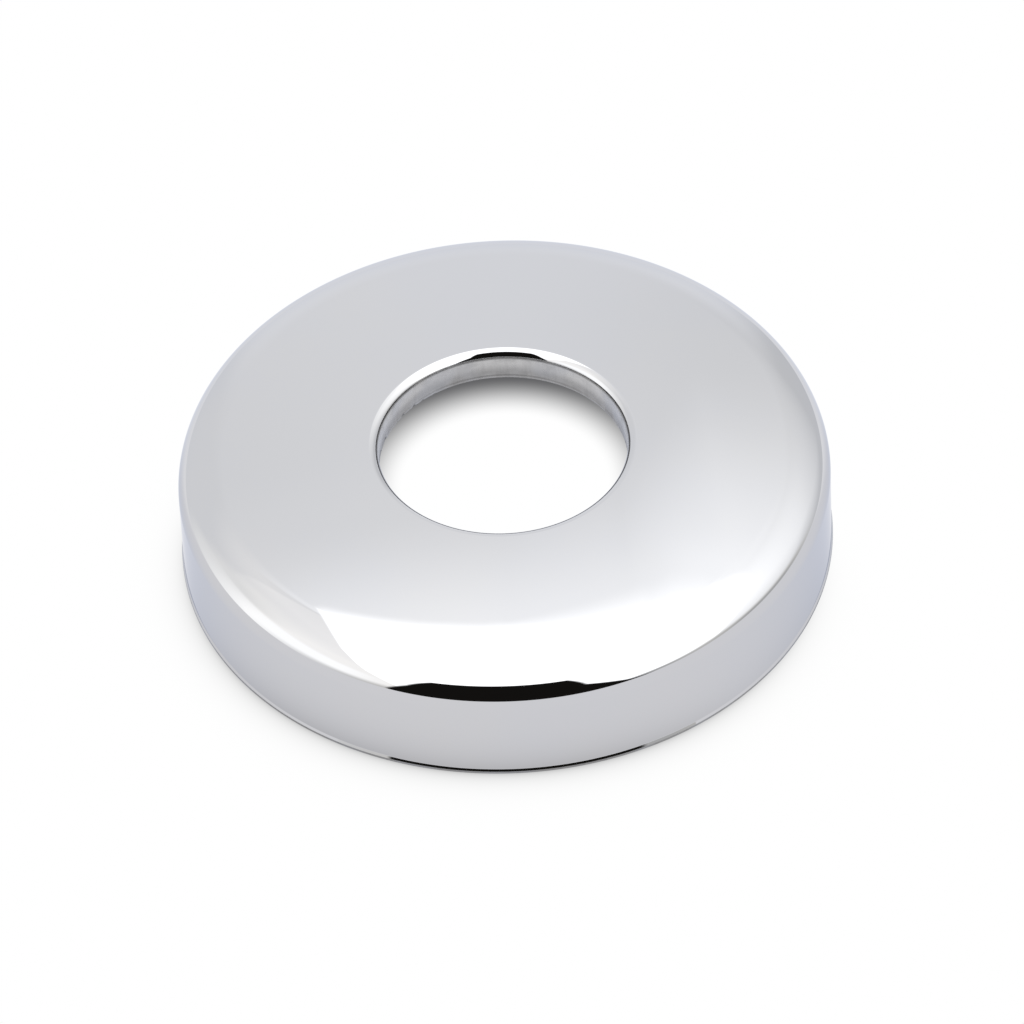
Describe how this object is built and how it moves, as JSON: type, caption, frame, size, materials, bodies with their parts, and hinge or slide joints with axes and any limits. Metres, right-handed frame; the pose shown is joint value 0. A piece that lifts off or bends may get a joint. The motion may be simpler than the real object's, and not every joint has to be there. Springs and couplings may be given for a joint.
{
  "type": "tap escutcheon",
  "caption": "Round domed cover with an upright skirt and a turned-down centre hole. It slips over a tap's threaded tail and hides the hole in the wall behind it.",
  "frame": {"origin": "on the axis, in the plane of the foot that meets the wall", "axes": "+Z along the axis, out of the wall; X and Y across the foot"},
  "size_m": [0.07, 0.07, 0.0145],
  "materials": {
    "chrome_plate": "bright mirror plating outside, dull unpolished plating inside the collar and underneath"
  },
  "bodies": {
    "root": {"escutcheon": "chrome_plate"}
  },
  "joints": []
}
